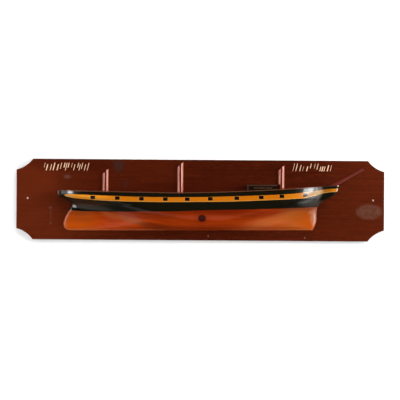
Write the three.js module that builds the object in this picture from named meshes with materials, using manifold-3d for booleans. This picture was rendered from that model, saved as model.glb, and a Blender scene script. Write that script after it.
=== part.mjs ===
// Half hull model of a three-masted barque on a board that hangs on a wall.
// Millimetres. X runs from the stern to the bow, Z is up, and the model stands out towards -Y.
// The origin is the middle of the board's back face, where it lies against the wall.

import * as THREE from 'three';
import { mergeVertices } from 'three/addons/utils/BufferGeometryUtils.js';
import Module from 'manifold-3d';

const wasm = await Module();
wasm.setup();

// Clearance that glued pieces keep to each other
const gap = 0.3;

// Corners closer together than this are one corner
const cornerJoin = 0.0001;

// Board: a plank with scooped corners and two screw holes
const boardLength = 1219;
const boardHeight = 267;
const boardThickness = 18;
const scoopAlong = 54;
const scoopUp = 36;
const scoopRadius = 94;
const screwHoleDiameter = 7;
const screwHoleFromEnd = 36;
const screwHoleHeight = 3;

// Hull: half its width, the keel and stem plate, and the heights of its long lines
const hullHalfWidth = 90;
const keelThickness = 5;
const keelDepth = 6;
const keelFlatWidth = 1.5;
const keelRounding = 4;
const keelAft = -103.5;
const keelFore = -97.5;
const sheerLowX = -80;
const sheerLow = 24.7;
const sheerStern = 30.2;
const sheerBow = 52;
const sheerSternPower = 1.3;
const sheerBowPower = 1.6;

// Hull: outline of the rudder and counter, from the heel of the keel up to the taffrail
const heel = [-428, -103.5];
const rudderEdge = [
  [-440, -102],
  [-448, -97],
  [-452, -89],
  [-453, -79],
  [-450.5, -68],
  [-446.5, -57],
  [-438, -42],
];
const knuckle = [-422, -17.5];
const counterEdge = [[-438, -7.5], [-457, 2.5], [-468, 7.5], [-472.5, 15]];
const taffrail = [-473, 27];

// Hull: outline of the forefoot, stem and beak
const forefoot = [372, -97.5];
const stemEdge = [
  [381.5, -80],
  [385, -60],
  [385, -40],
  [388, -22],
  [394.5, -9],
  [412, 3],
  [435, 14],
  [451, 27],
];
const beak = [459, 48.5];

// Hull: where its body meets the thin stem and head, from the forefoot up to the rail
const bodyFoot = [369, -97.5];
const bodyStemEdge = [
  [378, -80],
  [382, -60],
  [382.5, -40],
  [385, -22],
  [389.5, -10],
  [395, 3],
  [400, 16],
  [403, 30],
];
const bodyStemHead = [405, 48];

// Hull: fullness. Lengths over which the ends narrow, low down and at the rail
const runLow = 520;
const runHigh = 200;
const entranceLow = 400;
const entranceHigh = 150;
const edgeRounding = 12;

// Hull: shares of its height between which its ends change from hollow to round
const bilgeTopShare = 0.6;
const tumblehomeShare = 0.05;
const bowHollowShare = 0.8;
const runShares = [0.05, 0.8];
const entranceShares = [0, 0.7];
const sternRoundShares = [0.5, 0.95];
const bowRoundShares = [0.2, 0.8];

// Hull: powers of its round curves, 2 for an ellipse and more for a squarer one
const bilgePower = 2.4;
const sternPower = 3;
const bowPower = 2.2;

// Deck, sunk behind the bulwark
const bulwarkThickness = 4;
const bulwarkEndThickness = 6.4;
const bulwarkEndLength = 60;
const deckDrop = 12;
const deckAft = -462;
const deckFore = 396;

// Cap rail along the top of the bulwark
const railThickness = 3;
const railWidth = 5.5;
const railOverhang = 0.8;

// Mast stumps: half round, cut at a slant on top
const mastRadius = 10.5;
const mastSlant = 42;
const mizzenX = -315;
const mizzenTop = 93;
const mainX = -67;
const mainTop = 116.5;
const foreX = 268;
const foreTop = 109;

// Deckhouse, just abaft the fore stump
const houseAft = 155;
const houseLength = 97;
const houseRoof = 52.5;
const houseDepth = 38;
const roofThickness = 3;
const roofOverhang = 1.5;
const roofCamber = 2;

// Bowsprit: half round, steeved up over the stem head
const spritHeelX = 424;
const spritHeelZ = 41.5;
const spritLength = 134;
const spritSteeve = 29.3;
const spritHeelRadius = 6.8;
const spritTipRadius = 4.6;

// Number of facets
const stationCount = 80;
const headStationCount = 6;
const lowerRowCount = 14;
const upperRowCount = 11;
const bunching = 0.95;
const lowerRowPower = 1.5;
const roundFacetCount = 20;
const roofFacetCount = 6;
const deckStepCount = 60;
const edgeSearchSteps = 40;

const boardFace = -boardThickness;
const stemHeadX = beak[0];
const sternX = taffrail[0];

function clamp01(value) {
  return Math.min(Math.max(value, 0), 1);
}

function smooth(from, to, value) {
  const share = clamp01((value - from) / (to - from));
  return share * share * (3 - 2 * share);
}

function mix(a, b, share) {
  return a + (b - a) * share;
}

// A closed mesh becomes a solid for joining and cutting
function toSolid(geometry) {
  const plain = geometry.clone();
  plain.deleteAttribute('normal');
  plain.deleteAttribute('uv');
  const merged = mergeVertices(plain, cornerJoin);
  const source = merged.index.array;
  const corners = [];
  for (let i = 0; i < source.length; i += 3) {
    const [a, b, c] = [source[i], source[i + 1], source[i + 2]];
    if (a !== b && b !== c && c !== a) {
      corners.push(a, b, c);
    }
  }
  return new wasm.Manifold(new wasm.Mesh({
    numProp: 3,
    vertProperties: new Float32Array(merged.attributes.position.array),
    triVerts: new Uint32Array(corners),
  }));
}

function toGeometry(solid) {
  const mesh = solid.getMesh();
  const geometry = new THREE.BufferGeometry();
  geometry.setAttribute('position', new THREE.BufferAttribute(new Float32Array(mesh.vertProperties), 3));
  geometry.setIndex(new THREE.BufferAttribute(new Uint32Array(mesh.triVerts), 1));
  geometry.computeVertexNormals();
  return geometry;
}

function boxBetween(low, high) {
  const size = high.map((value, axis) => value - low[axis]);
  const box = new THREE.BoxGeometry(...size);
  box.translate(...low.map((value, axis) => value + size[axis] / 2));
  return box;
}

// A closed body through rings of points that all have the same count, capped at both ends
function loft(rings) {
  const count = rings[0].length;
  const positions = rings.flat(2);
  const corners = [];
  for (let ring = 0; ring < rings.length - 1; ring++) {
    for (let i = 0; i < count; i++) {
      const a = ring * count + i;
      const b = ring * count + (i + 1) % count;
      corners.push(a, b, b + count, a, b + count, a + count);
    }
  }
  const last = (rings.length - 1) * count;
  for (let i = 1; i < count - 1; i++) {
    corners.push(0, i + 1, i, last, last + i, last + i + 1);
  }
  const geometry = new THREE.BufferGeometry();
  geometry.setAttribute('position', new THREE.Float32BufferAttribute(positions, 3));
  geometry.setIndex(corners);
  return geometry;
}

// Long lines of the hull, as heights over X
function railTop(x) {
  if (x > sheerLowX) {
    const share = (x - sheerLowX) / (stemHeadX - sheerLowX);
    return sheerLow + (sheerBow - sheerLow) * share ** sheerBowPower;
  }
  const share = (sheerLowX - x) / (sheerLowX - sternX);
  return sheerLow + (sheerStern - sheerLow) * share ** sheerSternPower;
}

function bulwarkTop(x) {
  return railTop(x) - railThickness - gap;
}

function keelBottom(x) {
  return mix(keelAft, keelFore, (x - heel[0]) / (forefoot[0] - heel[0]));
}

function heightShare(x, z) {
  return (z - keelBottom(x)) / (bulwarkTop(x) - keelBottom(x));
}

function heightAt(x, share) {
  return mix(keelBottom(x), bulwarkTop(x), share);
}

// The outline's X at a share of the hull's height, found on a smooth curve through its points
function edgeFinder(points) {
  const curve = new THREE.SplineCurve(points.map(([x, z]) => new THREE.Vector2(x, z)));
  return (share) => {
    let [low, high] = [0, 1];
    for (let step = 0; step < edgeSearchSteps; step++) {
      const middle = (low + high) / 2;
      const point = curve.getPoint(middle);
      if (heightShare(point.x, point.y) < share) {
        low = middle;
      } else {
        high = middle;
      }
    }
    return curve.getPoint((low + high) / 2).x;
  };
}

const knuckleShare = heightShare(...knuckle);
const rudderX = edgeFinder([heel, ...rudderEdge, knuckle]);
const counterX = edgeFinder([knuckle, ...counterEdge, taffrail]);
const foreEdgeX = edgeFinder([forefoot, ...stemEdge, beak]);
const bodyStemX = edgeFinder([bodyFoot, ...bodyStemEdge, bodyStemHead]);

function aftEdgeX(share) {
  return share < knuckleShare ? rudderX(share) : counterX(share);
}

// How far a form has swelled out from its end, from 0 to 1: hollow, or round like an ellipse
function hollowSwell(distance, length) {
  return smooth(0, length, distance);
}

function roundSwell(distance, length, power = 2) {
  return (1 - (1 - clamp01(distance / length)) ** power) ** (1 / power);
}

function midship(share) {
  const keelShare = keelDepth / (bulwarkTop(0) - keelBottom(0));
  const bilge = roundSwell(share - keelShare, bilgeTopShare - keelShare, bilgePower);
  const topside = clamp01((share - bilgeTopShare) / (1 - bilgeTopShare));
  return bilge - tumblehomeShare * topside ** 2;
}

// How far the hull stands out from the board at X and a share of its height
function widthAt(x, share) {
  const fromStern = x - aftEdgeX(share);
  const fromStem = foreEdgeX(share) - x;
  const fromBodyStem = bodyStemX(share) - x;
  const run = mix(runLow, runHigh, smooth(...runShares, share));
  const entrance = mix(entranceLow, entranceHigh, smooth(...entranceShares, share));
  const sternRound = smooth(...sternRoundShares, share);
  const bowRound = mix(1 - bowHollowShare, 1, smooth(...bowRoundShares, share));
  const stern = mix(hollowSwell(fromStern, run), roundSwell(fromStern, run, sternPower), sternRound);
  const bow = mix(
    hollowSwell(fromBodyStem, entrance),
    roundSwell(fromBodyStem, entrance, bowPower),
    bowRound,
  );
  const aboveKeel = heightAt(x, share) - keelBottom(x);
  const plate = mix(keelFlatWidth, keelThickness, roundSwell(aboveKeel, keelRounding)) * Math.min(
    roundSwell(fromStern, edgeRounding),
    roundSwell(fromStem, edgeRounding),
  );
  return plate + (hullHalfWidth - keelThickness) * midship(share) * stern * bow;
}

// Places along the body from end to end, closer together near both ends
function bodyPlaces(aft, fore) {
  const places = [];
  for (let i = 0; i <= stationCount; i++) {
    const even = i / stationCount;
    const bunched = (1 - Math.cos(Math.PI * even)) / 2;
    places.push(mix(aft, fore, mix(even, bunched, bunching)));
  }
  return places;
}

// Places along the thin stem and head, closer together near its outer edge
function headPlaces(body, fore) {
  const places = [];
  for (let i = 1; i <= headStationCount; i++) {
    places.push(mix(body, fore, Math.sin(Math.PI / 2 * i / headStationCount)));
  }
  return places;
}

function rowShares() {
  const shares = [];
  for (let i = 0; i < lowerRowCount; i++) {
    shares.push(knuckleShare * (i / lowerRowCount) ** lowerRowPower);
  }
  for (let i = 0; i <= upperRowCount; i++) {
    shares.push(mix(knuckleShare, 1, i / upperRowCount));
  }
  return shares;
}

// The carved skin as rows from keel to bulwark, a flat underside and top, and the flat back
function hullBlank() {
  const rows = rowShares().map((share) => {
    const body = bodyStemX(share);
    const places = [...bodyPlaces(aftEdgeX(share), body), ...headPlaces(body, foreEdgeX(share))];
    return places.map((x) => [x, boardFace - widthAt(x, share), heightAt(x, share)]);
  });
  const onBoard = (row) => row.map(([x, , z]) => [x, boardFace, z]);
  const skin = [onBoard(rows[0]), ...rows, onBoard(rows[rows.length - 1])];
  const width = rows[0].length;
  const lastColumn = width - 1;
  const positions = skin.flat(2);
  const corners = [];
  for (let row = 0; row < skin.length - 1; row++) {
    for (let i = 0; i < lastColumn; i++) {
      const a = row * width + i;
      corners.push(a, a + 1, a + width + 1, a, a + width + 1, a + width);
    }
  }
  const back = [];
  const last = skin.length - 1;
  for (let i = 0; i <= lastColumn; i++) {
    back.push(i);
  }
  for (let row = 2; row < last; row++) {
    back.push(row * width + lastColumn);
  }
  for (let i = lastColumn - 1; i >= 0; i--) {
    back.push(last * width + i);
  }
  for (let row = last - 2; row > 1; row--) {
    back.push(row * width);
  }
  const flat = back.map((i) => new THREE.Vector2(positions[i * 3], positions[i * 3 + 2]));
  for (const [a, b, c] of THREE.ShapeUtils.triangulateShape(flat, [])) {
    corners.push(back[a], back[c], back[b]);
  }
  const geometry = new THREE.BufferGeometry();
  geometry.setAttribute('position', new THREE.Float32BufferAttribute(positions, 3));
  geometry.setIndex(corners);
  return geometry;
}

// The hollow above the deck, inside the bulwark and open at the top and at the board
function deckHollow() {
  const rings = [];
  for (let i = 0; i <= deckStepCount; i++) {
    const x = mix(deckAft, deckFore, (1 - Math.cos(Math.PI * i / deckStepCount)) / 2);
    const fromEnd = Math.min(x - deckAft, deckFore - x);
    const inset = mix(bulwarkEndThickness, bulwarkThickness, smooth(0, bulwarkEndLength, fromEnd));
    const inner = boardFace - widthAt(x, 1) + inset;
    const floor = bulwarkTop(x) - deckDrop;
    const above = bulwarkTop(x) + 2 * deckDrop;
    rings.push([[x, 0, above], [x, inner, above], [x, inner, floor], [x, 0, floor]]);
  }
  return loft(rings);
}

// A strip of rail along a path in plan, following the sheer in height
function railStrip(path, firstOutward) {
  const rings = path.map((point, i) => {
    const before = path[Math.max(i - 1, 0)];
    const after = path[Math.min(i + 1, path.length - 1)];
    const along = after.clone().sub(before).normalize();
    const outward = i === 0 ? firstOutward : new THREE.Vector2(along.y, -along.x);
    const outer = point.clone().addScaledVector(outward, railOverhang);
    const inner = point.clone().addScaledVector(outward, railOverhang - railWidth);
    const bottom = bulwarkTop(point.x) + gap;
    const top = railTop(point.x);
    return [
      [outer.x, outer.y, bottom],
      [inner.x, inner.y, bottom],
      [inner.x, inner.y, top],
      [outer.x, outer.y, top],
    ];
  });
  return toSolid(loft(rings));
}

// The rail goes round the bulwark from the board to the board
function bulwarkRail() {
  const bodyFore = bodyStemX(1);
  const path = bodyPlaces(aftEdgeX(1), bodyFore).map((x) => new THREE.Vector2(x, boardFace - widthAt(x, 1)));
  path.push(new THREE.Vector2(bodyFore, boardFace + railWidth));
  return railStrip(path, new THREE.Vector2(-1, 0));
}

// A solid along the thin head, from behind the board's face to a little beyond the head's side
function overHead(bottom, top, reach) {
  const bodyFore = bodyStemX(1);
  const start = bodyFore - railWidth;
  const places = [start, ...headPlaces(start, stemHeadX)];
  return toSolid(loft(places.map((x) => {
    const outer = boardFace - widthAt(Math.max(x, bodyFore), 1) - reach;
    return [[x, outer, bottom(x)], [x, 0, bottom(x)], [x, 0, top(x)], [x, outer, top(x)]];
  })));
}

// Half of a round spar standing along Z, with its flat on the board
function halfRound(radius, height) {
  const section = new THREE.Shape();
  section.absarc(0, 0, radius, Math.PI, 2 * Math.PI, false);
  return new THREE.ExtrudeGeometry(section, {
    depth: height,
    bevelEnabled: false,
    curveSegments: roundFacetCount,
  });
}

const behindBoardFace = toSolid(boxBetween(
  [-boardLength, boardFace, -boardLength],
  [boardLength, boardFace + boardLength, boardLength],
));
const hull = toSolid(hullBlank()).subtract(toSolid(deckHollow()));
const hullWithGap = hull.translate(0, 0, gap);

function mastStump(x, top) {
  const height = top + 4 * mastRadius;
  const pole = halfRound(mastRadius, height);
  pole.translate(x, boardFace, 0);
  const slantCut = boxBetween([-height, -height, 0], [height, height, height]);
  slantCut.rotateY(-THREE.MathUtils.degToRad(mastSlant));
  slantCut.translate(x, 0, top);
  const belowDeck = boxBetween([x - mastRadius * 2, -boardLength, -boardLength], [x + mastRadius * 2, 0, 0]);
  const cut = toSolid(pole).subtract(toSolid(slantCut)).subtract(toSolid(belowDeck));
  return cut.subtract(hullWithGap);
}

function deckhouse() {
  const roof = new THREE.Shape();
  const eaves = houseDepth + roofOverhang;
  roof.moveTo(boardFace, houseRoof);
  roof.quadraticCurveTo(boardFace - eaves / 2, houseRoof, boardFace - eaves, houseRoof - roofCamber);
  roof.lineTo(boardFace - eaves, houseRoof - roofCamber - roofThickness);
  roof.lineTo(boardFace, houseRoof - roofCamber - roofThickness);
  const roofSlab = new THREE.ExtrudeGeometry(roof, {
    depth: houseLength + 2 * roofOverhang,
    bevelEnabled: false,
    curveSegments: roofFacetCount,
  });
  // The section's first axis becomes Y, its second Z and the extrusion X
  roofSlab.applyMatrix4(new THREE.Matrix4().makeBasis(
    new THREE.Vector3(0, 1, 0),
    new THREE.Vector3(0, 0, 1),
    new THREE.Vector3(1, 0, 0),
  ));
  roofSlab.translate(houseAft - roofOverhang, 0, 0);
  const walls = boxBetween(
    [houseAft, boardFace - houseDepth, 0],
    [houseAft + houseLength, boardFace, houseRoof - roofCamber - roofThickness / 2],
  );
  return toSolid(walls).add(toSolid(roofSlab)).subtract(hullWithGap);
}

function bowsprit() {
  const spar = new THREE.CylinderGeometry(spritTipRadius, spritHeelRadius, spritLength, 2 * roundFacetCount);
  spar.translate(0, spritLength / 2, 0);
  spar.rotateX(Math.PI / 2);
  spar.rotateY(Math.PI / 2 - THREE.MathUtils.degToRad(spritSteeve));
  spar.translate(spritHeelX, boardFace, spritHeelZ);
  return toSolid(spar).subtract(behindBoardFace);
}

function backboard() {
  const chord = Math.hypot(scoopAlong, scoopUp);
  const reach = Math.sqrt(scoopRadius ** 2 - (chord / 2) ** 2);
  // Middle of the scoop's circle, measured outwards from the middle of the corner's chord
  const outX = boardLength / 2 - scoopAlong / 2 + reach * scoopUp / chord;
  const outZ = boardHeight / 2 - scoopUp / 2 + reach * scoopAlong / chord;
  const sideAngle = Math.atan2(boardHeight / 2 - scoopUp - outZ, boardLength / 2 - outX);
  const topAngle = Math.atan2(boardHeight / 2 - outZ, boardLength / 2 - scoopAlong - outX);
  const corner = [];
  for (let i = 0; i <= roundFacetCount / 2; i++) {
    const turn = mix(sideAngle + 2 * Math.PI, topAngle + 2 * Math.PI, 2 * i / roundFacetCount);
    corner.push([outX + scoopRadius * Math.cos(turn), outZ + scoopRadius * Math.sin(turn)]);
  }
  const topRight = corner;
  const topLeft = corner.map(([x, z]) => [-x, z]).reverse();
  const bottomLeft = corner.map(([x, z]) => [-x, -z]);
  const bottomRight = corner.map(([x, z]) => [x, -z]).reverse();
  const outline = [...topRight, ...topLeft, ...bottomLeft, ...bottomRight];
  const face = new THREE.Shape(outline.map(([x, z]) => new THREE.Vector2(x, z)));
  for (const side of [-1, 1]) {
    const hole = new THREE.Path();
    const holeX = side * (boardLength / 2 - screwHoleFromEnd);
    hole.absarc(holeX, screwHoleHeight, screwHoleDiameter / 2, 0, 2 * Math.PI, true);
    face.holes.push(hole);
  }
  const plank = new THREE.ExtrudeGeometry(face, {
    depth: boardThickness,
    bevelEnabled: false,
    curveSegments: roundFacetCount,
  });
  plank.rotateX(Math.PI / 2);
  return plank;
}

const headRail = overHead((x) => bulwarkTop(x) + gap, railTop, railOverhang);
const rail = bulwarkRail().add(headRail).subtract(behindBoardFace);
const belowHeadRail = overHead(() => 0, (x) => railTop(x) + gap, spritHeelRadius);
const spritOverHead = bowsprit().subtract(belowHeadRail);

const model = new THREE.Group();

function addPiece(name, geometry, color, roughness) {
  const material = new THREE.MeshStandardMaterial({ color, roughness, metalness: 0 });
  const mesh = new THREE.Mesh(geometry, material);
  mesh.name = name;
  model.add(mesh);
}

addPiece('backboard', backboard(), 0x4a1b0c, 0.35);
addPiece('hull', toGeometry(hull), 0xb0480c, 0.2);
addPiece('cap_rail', toGeometry(rail), 0xa5805f, 0.4);
addPiece('deckhouse', toGeometry(deckhouse()), 0x1f2420, 0.3);
addPiece('mizzen_stump', toGeometry(mastStump(mizzenX, mizzenTop)), 0x7a2a1c, 0.15);
addPiece('main_stump', toGeometry(mastStump(mainX, mainTop)), 0x7a2a1c, 0.15);
addPiece('fore_stump', toGeometry(mastStump(foreX, foreTop)), 0x7a2a1c, 0.15);
addPiece('bowsprit', toGeometry(spritOverHead), 0x74261c, 0.2);

export default model;
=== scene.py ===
import math

import bpy
import numpy as np
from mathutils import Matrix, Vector


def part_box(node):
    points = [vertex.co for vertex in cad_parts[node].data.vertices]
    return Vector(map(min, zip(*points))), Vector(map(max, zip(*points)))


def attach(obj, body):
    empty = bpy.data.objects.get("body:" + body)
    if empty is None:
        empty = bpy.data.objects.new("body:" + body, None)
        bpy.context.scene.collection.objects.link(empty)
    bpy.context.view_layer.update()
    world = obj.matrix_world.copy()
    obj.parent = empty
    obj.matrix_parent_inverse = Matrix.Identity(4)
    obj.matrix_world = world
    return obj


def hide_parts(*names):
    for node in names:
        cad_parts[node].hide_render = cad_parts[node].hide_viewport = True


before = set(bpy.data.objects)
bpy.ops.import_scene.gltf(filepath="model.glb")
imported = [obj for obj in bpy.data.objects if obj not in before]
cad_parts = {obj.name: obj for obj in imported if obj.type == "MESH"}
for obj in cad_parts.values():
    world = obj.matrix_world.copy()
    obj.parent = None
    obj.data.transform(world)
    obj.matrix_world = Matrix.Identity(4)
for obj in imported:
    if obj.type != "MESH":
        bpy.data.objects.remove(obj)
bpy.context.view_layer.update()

bpy.ops.object.select_all(action="DESELECT")

# The camera
# It stands straight in front of the board with a long lens, level with the board's middle,
# and leans by less than half a degree, so that the bow end of the board hangs a little lower.
picture_width = 1.3263
lens_length = 190
sensor_width = 36
camera_lean = math.radians(0.41)
aim_x = -0.001
aim_z = 0.0003
board_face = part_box("backboard")[0].y
camera_distance = picture_width * lens_length / sensor_width
bpy.ops.object.camera_add(
    location=(aim_x, board_face - camera_distance, aim_z),
    rotation=(math.pi / 2, -camera_lean, 0),
)
camera = bpy.context.object
camera.data.lens = lens_length
camera.data.sensor_width = sensor_width
camera.data.clip_end = 100
bpy.context.scene.camera = camera

# The room
# The board hangs on a white wall, over a pale floor far below, in white air. All of it is bright for
# the camera alone, and nearly black in the varnish. From behind, the wall is clear.
floor_drop = 6
floor_radius = 16
wall_clearance = 0.001
wall_size = 2.6
shaded_half = 0.18
lit_half = 0.42
hole_height = 0.003
bright_holes = [(-0.5737, 0.0027), (0.5749, 0.0024)]
air_brightness = 1.05
mirrored_air_brightness = 0.02

bpy.ops.mesh.primitive_circle_add(
    vertices=96, radius=floor_radius, fill_type="NGON", location=(0, 0, -floor_drop)
)
floor = bpy.context.object
floor.name = "pale_floor"
bpy.ops.mesh.primitive_plane_add(
    size=wall_size, location=(0, wall_clearance, 0), rotation=(math.pi / 2, 0, 0)
)
wall = bpy.context.object
wall.name = "white_wall"
wall.visible_shadow = False


class Field:
    """The output of a shader node. Arithmetic on it adds Math nodes to the same finish."""

    def __init__(self, finish, socket):
        self.finish = finish
        self.socket = socket

    def math(self, operation, *values):
        return self.finish.add("ShaderNodeMath", {"operation": operation}, dict(enumerate(values)))

    def __add__(self, other):
        return self.math("ADD", self, other)

    def __radd__(self, other):
        return self.math("ADD", other, self)

    def __sub__(self, other):
        return self.math("SUBTRACT", self, other)

    def __rsub__(self, other):
        return self.math("SUBTRACT", other, self)

    def __mul__(self, other):
        return self.math("MULTIPLY", self, other)

    def __rmul__(self, other):
        return self.math("MULTIPLY", other, self)

    def __truediv__(self, other):
        return self.math("DIVIDE", self, other)

    def __rtruediv__(self, other):
        return self.math("DIVIDE", other, self)

    def __pow__(self, other):
        return self.math("POWER", self, other)

    def __rpow__(self, other):
        return self.math("POWER", other, self)

    def magnitude(self):
        return self.math("ABSOLUTE", self)

    def at_least(self, other):
        return self.math("MAXIMUM", self, other)

    def at_most(self, other):
        return self.math("MINIMUM", self, other)

    def rise(self, start, end):
        """0 up to start, 1 from end on and smooth between them. Start may be the larger of the two."""
        return self.finish.add(
            "ShaderNodeMapRange",
            {"interpolation_type": "SMOOTHSTEP"},
            {"Value": self, "From Min": start, "From Max": end},
        )


class Finish:
    """A material whose nodes are added one by one."""

    def __init__(self, name):
        self.material = bpy.data.materials.new(name)
        self.material.use_nodes = True
        self.tree = self.material.node_tree
        self.shader = self.tree.nodes["Principled BSDF"]

    def add(self, kind, settings, values, output=0):
        node = self.tree.nodes.new(kind)
        for name, setting in settings.items():
            setattr(node, name, setting)
        for name, value in values.items():
            self.feed(node.inputs[name], value)
        return Field(self, node.outputs[output])

    def feed(self, socket, value):
        if isinstance(value, Field):
            self.tree.links.new(value.socket, socket)
        elif isinstance(value, tuple) and len(value) == 3 and socket.type == "RGBA":
            socket.default_value = (*value, 1)
        else:
            socket.default_value = value

    def place(self):
        """The object's own coordinates."""
        return self.add("ShaderNodeTexCoord", {}, {}, "Object")

    def parts(self, point):
        """The x, y and z of a point."""
        return (self.add("ShaderNodeSeparateXYZ", {}, {"Vector": point}, axis) for axis in "XYZ")

    def stretched(self, point, scale, offset=(0, 0, 0)):
        return self.add("ShaderNodeMapping", {}, {"Vector": point, "Scale": scale, "Location": offset})

    def attribute(self, name):
        return self.add("ShaderNodeAttribute", {"attribute_name": name}, {}, "Fac")

    def noise(self, point, scale, detail=3, roughness=0.5):
        values = {"Vector": point, "Scale": scale, "Detail": detail, "Roughness": roughness}
        return self.add("ShaderNodeTexNoise", {}, values, "Fac")

    def blend(self, share, first, second):
        """The first color at share 0, the second at share 1."""
        return self.add("ShaderNodeMix", {"data_type": "RGBA"}, {0: share, 6: first, 7: second}, 2)

    def spot(self, x, z, centre, size, soft):
        """1 inside an ellipse on the face, fading out over its soft edge."""
        across = ((x - centre[0]) / size[0]) ** 2
        up = ((z - centre[1]) / size[1]) ** 2
        return 1 - (across + up).rise(1 - soft, 1 + soft)

    def spots(self, x, z, marks):
        """Several spots added up, each with its centre, size, soft edge and strength."""
        total = 0
        for centre, size, soft, strength in marks:
            total = total + self.spot(x, z, centre, size, soft) * strength
        return total

    def bump(self, height, distance):
        values = {"Height": height, "Distance": distance}
        self.feed(self.shader.inputs["Normal"], self.add("ShaderNodeBump", {}, values))

    def surface(self, **values):
        """Sets the shader's own sockets, named with underscores for spaces."""
        for name, value in values.items():
            self.feed(self.shader.inputs[name.replace("_", " ")], value)


def room_paint(name, color, glow, mirrored_middle, mirrored_sides):
    """Matt paint with a glow. Reflections see a darker paint there, and it is clear from behind."""
    paint = Finish(name)
    x, _, _ = paint.parts(paint.place())
    paint.surface(
        Base_Color=color,
        Roughness=1,
        Specular_IOR_Level=0,
        Emission_Color=color,
        Emission_Strength=glow,
    )
    front = Field(paint, paint.shader.outputs["BSDF"])
    # In reflections the wall is darker near the middle, a painted shade under the board, and lighter to
    # both sides
    to_sides = x.magnitude().rise(shaded_half, lit_half)
    mirrored_tone = mirrored_middle + to_sides * (mirrored_sides - mirrored_middle)
    mirrored = paint.add("ShaderNodeBsdfDiffuse", {}, {"Color": mirrored_tone})
    camera_ray = paint.add("ShaderNodeLightPath", {}, {}, "Is Camera Ray")
    seen = paint.add("ShaderNodeMixShader", {}, {0: camera_ray, 1: mirrored, 2: front})
    backfacing = paint.add("ShaderNodeNewGeometry", {}, {}, "Backfacing")
    clear = paint.add("ShaderNodeBsdfTransparent", {}, {})
    either = paint.add("ShaderNodeMixShader", {}, {0: backfacing, 1: seen, 2: clear})
    paint.feed(paint.tree.nodes["Material Output"].inputs["Surface"], either)
    return paint.material


floor.data.materials.append(room_paint("pale_floor_paint", (0.8, 0.8, 0.79), 0.9, 0.02, 0.02))
wall.data.materials.append(room_paint("white_wall_paint", (0.85, 0.85, 0.85), 0.17, 0.02, 0.04))

# A slip of glowing paper lies behind each of the two screw holes, painted light seen through them
hole_glow = room_paint("glowing_hole_paper", (0.95, 0.55, 0.42), 1.1, 0.02, 0.02)
for dot_x, dot_radius in bright_holes:
    bpy.ops.mesh.primitive_circle_add(
        vertices=32,
        radius=dot_radius,
        fill_type="NGON",
        location=(dot_x, wall_clearance / 2, hole_height),
        rotation=(math.pi / 2, 0, 0),
    )
    paper = bpy.context.object
    paper.name = "paper_behind_hole"
    paper.data.materials.append(hole_glow)

scene_world = bpy.data.worlds.new("white_room")
bpy.context.scene.world = scene_world
scene_world.use_nodes = True
world_nodes = scene_world.node_tree.nodes
world_links = scene_world.node_tree.links
seen_air = world_nodes["Background"]
seen_air.inputs["Color"].default_value = (1, 1, 1, 1)
seen_air.inputs["Strength"].default_value = air_brightness
dim_air = world_nodes.new("ShaderNodeBackground")
dim_air.inputs["Color"].default_value = (1, 1, 1, 1)
dim_air.inputs["Strength"].default_value = mirrored_air_brightness
light_path = world_nodes.new("ShaderNodeLightPath")
air_mix = world_nodes.new("ShaderNodeMixShader")
world_links.new(light_path.outputs["Is Camera Ray"], air_mix.inputs["Fac"])
world_links.new(dim_air.outputs["Background"], air_mix.inputs[1])
world_links.new(seen_air.outputs["Background"], air_mix.inputs[2])
world_links.new(air_mix.outputs["Shader"], world_nodes["World Output"].inputs["Surface"])
bpy.context.scene.view_settings.view_transform = "Standard"

# The lights
# A soft lamp stands on either side, with dimmer screens that only the varnish mirrors. Fills give
# most of the light, and it does not mirror them, which leaves a dark line down the front of each mast.


def soft_panel(name, turn, lift, distance, width, height, brightness, mirrored=True, lighting=True):
    """An area light that faces the model from turn degrees right of the camera, lift degrees up."""
    away = Vector((
        math.sin(math.radians(turn)) * math.cos(math.radians(lift)),
        -math.cos(math.radians(turn)) * math.cos(math.radians(lift)),
        math.sin(math.radians(lift)),
    ))
    bpy.ops.object.light_add(type="AREA", location=away * distance)
    panel = bpy.context.object
    panel.name = name
    panel.rotation_euler = away.to_track_quat("Z", "Y").to_euler()
    panel.data.shape = "RECTANGLE"
    panel.data.size = width
    panel.data.size_y = height
    panel.data.energy = brightness * math.pi * width * height
    panel.visible_camera = False
    panel.visible_glossy = mirrored
    panel.visible_diffuse = lighting


soft_panel("left_lamp", -49.5, 9, 3.1, 0.66, 1.1, 15)
soft_panel("right_lamp", 56.5, 13, 3.2, 1.55, 1.4, 13)
soft_panel("left_screen", -66, 2, 3.0, 2.9, 1.3, 2.0, lighting=False)
soft_panel("right_screen", 80, -7, 3.1, 3.3, 2.0, 5.5, lighting=False)
soft_panel("left_low_screen", -60, -66, 2.8, 1.9, 0.7, 0.4, lighting=False)
soft_panel("right_low_screen", 86, -40, 2.8, 1.4, 1.1, 1.3, lighting=False)
soft_panel("top_fill", 0, 48, 2.8, 2.6, 0.9, 7.8, mirrored=False)
soft_panel("low_fill", 0, -52, 2.6, 2.6, 1.0, 5.5, mirrored=False)
soft_panel("right_fill", 84, -4, 3.1, 1.8, 1.2, 8, mirrored=False)
soft_panel("back_fill", 180, 25, 3.0, 2.4, 1.4, 9, mirrored=False)

# The backboard
# One plank of mahogany, stained dark, scooped at its corners and drilled for two wall screws.
# Its edges are eased by hand, and it has a gloss varnish with a few rubbed and bloomed places.


def wear(piece, finish):
    piece.data.materials.clear()
    piece.data.materials.append(finish.material)


def stand_for(piece, node):
    """The piece takes the place of a CAD node."""
    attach(piece, "root")
    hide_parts(node)


def select_only(piece):
    bpy.ops.object.select_all(action="DESELECT")
    bpy.context.view_layer.objects.active = piece
    piece.select_set(True)


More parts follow.
